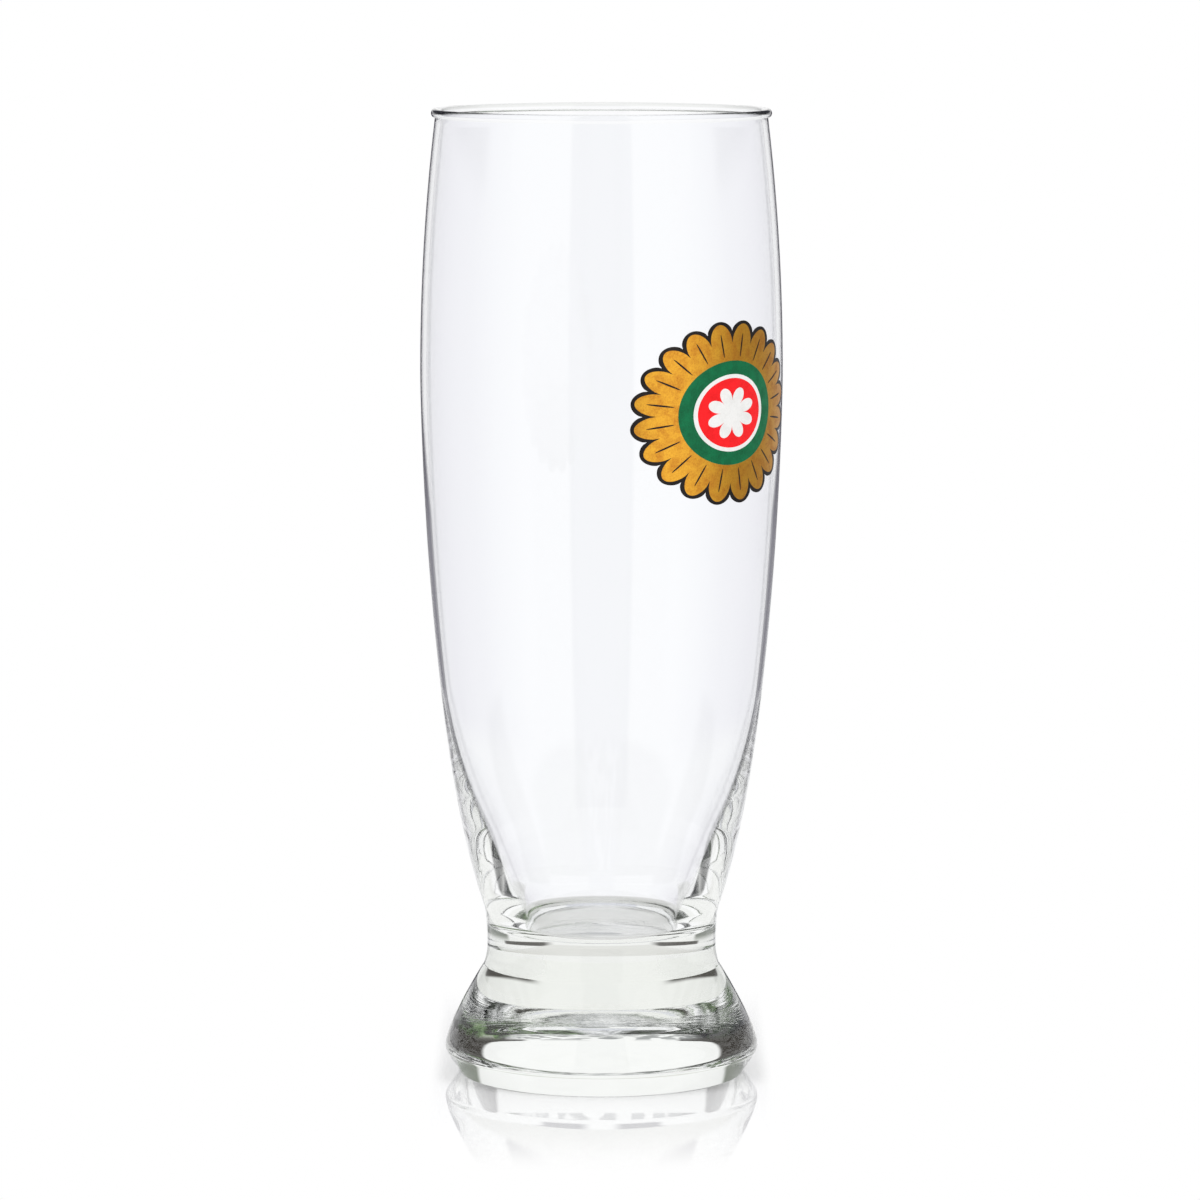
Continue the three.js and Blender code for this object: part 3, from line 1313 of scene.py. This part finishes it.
    def inside(self) -> Socket:
        """Paint what is seen by light that was mirrored inside the glass.

        Returns:
            Its colour.
        """
        graph = self.graph
        # Painted reflections overhead: marbling, darkened on one side as painted shade, and a grey
        # mottle
        dim = graph.blend(graph.smooth(self.side, *self.dim_from), WHITE, self.dim_side)
        veins = graph.blend(1.0, graph.ramp(self.clouds, self.marble), dim, "MULTIPLY")
        mottle = graph.blend(graph.smooth(self.specks, *self.mottle_levels), WHITE, self.mottle)
        ceiling = graph.blend(self.band(self.turn, self.ceiling_turn), mottle, veins)
        start = self.beyond(self.slanted(self.flat_start, 1), self.flat_soft)
        flat = graph.both(start, self.past(self.turn, *self.flat_end))
        flat = graph.both(flat, self.past(self.rise, *self.flat_rise))
        seen = graph.blend(self.past(self.turn, *self.stripe_turn), WHITE, self.stripe)
        seen = self.dark_line(seen, self.line_start, self.line_end)
        seen = graph.blend(flat, seen, self.flat_colour)
        return graph.blend(self.past(self.rise, *self.ceiling_rise), seen, ceiling)

    def on_skin(self, path: bpy.types.bpy_prop_collection) -> Socket:
        """Paint what the outside of the glass mirrors.

        Light that only the table mirrors has passed its polish once or more, and sees white.

        Args:
            path: Outputs of the Light Path node.

        Returns:
            Its colour.
        """
        graph = self.graph
        seen = graph.ramp(self.half_turns(), self.ahead)
        seen = self.dark_line(seen, self.skin_start, self.skin_end)
        rim = graph.both(
            self.band(self.turn, self.rim_turn), self.past(self.rise, *self.rim_rise)
        )
        seen = graph.blend(rim, seen, self.rim_colour)
        polished = graph.smooth(path["Transparent Depth"], 0.0, 1.0)
        once = graph.smooth(path["Glossy Depth"], 2.0, 1.0)
        return graph.blend(graph.both(polished, once), seen, WHITE)

    def look_round(self) -> None:
        """Work out the direction that is looked at, and the clouds and specks there."""
        graph = self.graph
        place = graph.add("TexCoord").outputs["Generated"]
        way = graph.parts(place)
        self.side = way["X"]
        self.turn = graph.maths("ARCTAN2", graph.maths("ABSOLUTE", self.side), way["Y"])
        self.rise = graph.maths("ARCSINE", way["Z"])
        self.clouds = graph.noise(
            place, Scale=self.marble_scale, Detail=2.0, Roughness=0.5, Distortion=1.2
        )
        self.specks = graph.noise(place, Scale=self.mottle_scale, Detail=2.0)

    def build(self) -> None:
        """Light the world: white behind the glass, dark flats beside it, soft boxes in front."""
        world = bpy.data.worlds.new("backdrop")
        bpy.context.scene.world = world
        self.graph = graph = NodeGraph(world)
        self.look_round()
        path = graph.add("LightPath").outputs
        solid = graph.smooth(path["Transmission Depth"], *SOLID_DEPTH)
        through = graph.blend(solid, self.through_wall(), self.through_solid())
        within = graph.smooth(path["Glossy Depth"], 0.0, 1.0)
        through = graph.blend(within, through, self.inside())
        glass = graph.blend(path["Is Transmission Ray"], self.on_skin(path), through)
        lit = graph.blend(path["Is Diffuse Ray"], glass, grey(self.ambient))
        shown = graph.blend(path["Is Camera Ray"], lit, WHITE)
        sky = graph.add("Background", Strength=1.0)
        graph.join(shown, sky.inputs["Color"])
        graph.surface(sky.outputs["Background"], "OutputWorld")


@dataclass
class Studio:
    """White backdrop between dark flats, glossy white table, two soft lamps and the camera."""

    camera_distance: float = 1.093
    camera_height: float = 0.2186
    camera_pitch: float = 6.88
    camera_aside: float = -0.00027
    camera_clip: float = 0.01
    focal_pixels: float = 6046.7
    image_pixels: float = 1200.0
    sensor: float = 36.0
    table_radius: float = 0.125
    table_corners: int = 96
    table_gap: float = 0.00004
    polish_gap: float = 0.00002
    table_near: float = 0.05
    table_far: float = 0.09
    table_side: tuple = (0.0283, 0.0315)
    table_colour: tuple = (0.88, 0.88, 0.89, 1)
    table_roughness: float = 0.02
    table_ior: float = 2.0
    # Painted shade: flat greys that the table glows with for light that came through the glass,
    # darkest for light through the bowl's walls (under_bowl), near white through solid glass close
    # by (under), mid grey farther out (belt)
    under: tuple = (0.91, 0.915, 0.895, 1)
    under_bowl: tuple = (0.68, 0.68, 0.66, 1)
    belt: tuple = (0.78, 0.78, 0.75, 1)
    strip_side: tuple = (0.027, 0.033)
    strip_start: tuple = (0.05, 0.056)
    ring_start: tuple = (0.0305, 0.0325)
    lamp_power: float = 9.0
    lamp_size: tuple = (0.7, 1.0)
    lamp_place: tuple = (0.9, -0.8, 0.75)
    lamp_aim: tuple = (0, 0, 0.09)
    bounces: int = 64

    def camera(self) -> None:
        """Place the camera as the photograph's."""
        deselect()
        place = (self.camera_aside, -self.camera_distance, self.camera_height)
        tilt = math.radians(QUARTER_TURN - self.camera_pitch)
        bpy.ops.object.camera_add(location=place, rotation=(tilt, 0, 0))
        camera = bpy.context.object
        camera.data.sensor_width = self.sensor
        camera.data.lens = self.focal_pixels / self.image_pixels * self.sensor
        camera.data.clip_start = self.camera_clip
        bpy.context.scene.camera = camera

    def sheet(self, name: str, gap: float, material: Material) -> None:
        """Lay a round sheet under the glass.

        Args:
            name: Name of the sheet.
            gap: How far it lies under the foot.
            material: Its material.
        """
        deselect()
        bpy.ops.mesh.primitive_circle_add(
            vertices=self.table_corners, radius=self.table_radius, fill_type="NGON"
        )
        sheet = bpy.context.object
        sheet.location.z = -gap
        sheet.name = name
        sheet.data.materials.append(material)

    def white_table(self) -> Material:
        """Mix the table's glossy white, which fades into the backdrop.

        Light that comes through the glass sees the table glow in flat greys there, a painted shade
        that is darkest for light through the bowl's walls, and passes the table in a ring round the
        foot and beside the glass.

        Returns:
            The finished material.
        """
        material = bpy.data.materials.new("white_table")
        graph = NodeGraph(material)
        place = graph.place()
        reach = graph.length(place)
        across = graph.maths("ABSOLUTE", graph.parts(place)["X"])
        path = graph.add("LightPath").outputs
        through = path["Is Transmission Ray"]
        solid = graph.smooth(path["Transmission Depth"], *SOLID_DEPTH)
        off = graph.smooth(reach, *self.strip_start)
        # Painted shade of the table seen through the glass: it glows in flat greys instead of being
        # lit
        near = graph.blend(solid, self.under_bowl, self.under)
        seen = graph.blend(off, near, self.belt)
        white = graph.add("Emission", Strength=1.0)
        graph.join(graph.blend(through, WHITE, seen), white.inputs["Color"])
        glossy = graph.add("BsdfPrincipled", Base_Color=self.table_colour)
        glossy.inputs["Roughness"].default_value = self.table_roughness
        glossy.inputs["IOR"].default_value = self.table_ior
        fade = graph.smooth(reach, self.table_near, self.table_far)
        fade = graph.maths("MAXIMUM", fade, graph.smooth(across, *self.table_side))
        plain = graph.maths("MAXIMUM", fade, through)
        table = graph.mix(plain, glossy.outputs["BSDF"], white.outputs["Emission"])
        beside = graph.smooth(across, *self.strip_side)
        free = graph.maths("MAXIMUM", beside, graph.maths("SUBTRACT", 1.0, solid))
        ring = graph.both(graph.smooth(reach, *self.ring_start), solid)
        ring = graph.both(ring, graph.maths("SUBTRACT", 1.0, off))
        free = graph.maths("MAXIMUM", graph.both(free, off), ring)
        clear = graph.add("BsdfTransparent").outputs["BSDF"]
        graph.surface(graph.mix(graph.both(through, free), table, clear))
        return material

    def lamps(self) -> None:
        """Hang a soft lamp on each side of the camera."""
        across, along, height = self.lamp_place
        for side in (-1, 1):
            place = Vector((side * across, along, height))
            aim = (Vector(self.lamp_aim) - place).to_track_quat("-Z", "Y").to_euler()
            deselect()
            bpy.ops.object.light_add(type="AREA", location=place, rotation=aim)
            lamp = bpy.context.object
            lamp.data.shape = "RECTANGLE"
            lamp.data.size, lamp.data.size_y = self.lamp_size
            lamp.data.energy = self.lamp_power
            lamp.visible_camera = False
            lamp.visible_glossy = False
            lamp.visible_transmission = False

    def build(self) -> None:
        """Set up the whole studio."""
        self.camera()
        Sky().build()
        self.sheet("table", self.table_gap, self.white_table())
        self.sheet("table_polish", self.polish_gap, OpenFace("clear_polish").material())
        self.lamps()
        scene = bpy.context.scene
        scene.view_settings.view_transform = "Standard"
        scene.cycles.max_bounces = self.bounces
        scene.cycles.transmission_bounces = self.bounces
        scene.cycles.glossy_bounces = self.bounces
        scene.cycles.transparent_max_bounces = self.bounces


def main() -> None:
    """Build the glass piece by piece and set it in the studio."""
    logging.basicConfig(level=logging.INFO, format="%(message)s")
    thin = ClearGlass("clear_glass", haze=0.02).material()
    thick = ClearGlass("thick_glass", THICK_TINT).material()
    stippled = StippledGlass("stippled_glass", THICK_TINT).material()
    fused = OpenFace("fused_face").material()
    stem = Stem()
    bowl = Bowl()
    bowl.draw_outside(stem.waist_radius)
    Foot().build(stem.foot_radius, thick, stippled, fused)
    stem.build(thick, fused)
    bowl.build(thin, fused)
    Medallion().build(bowl)
    Studio().build()


if __name__ == "__main__":
    main()
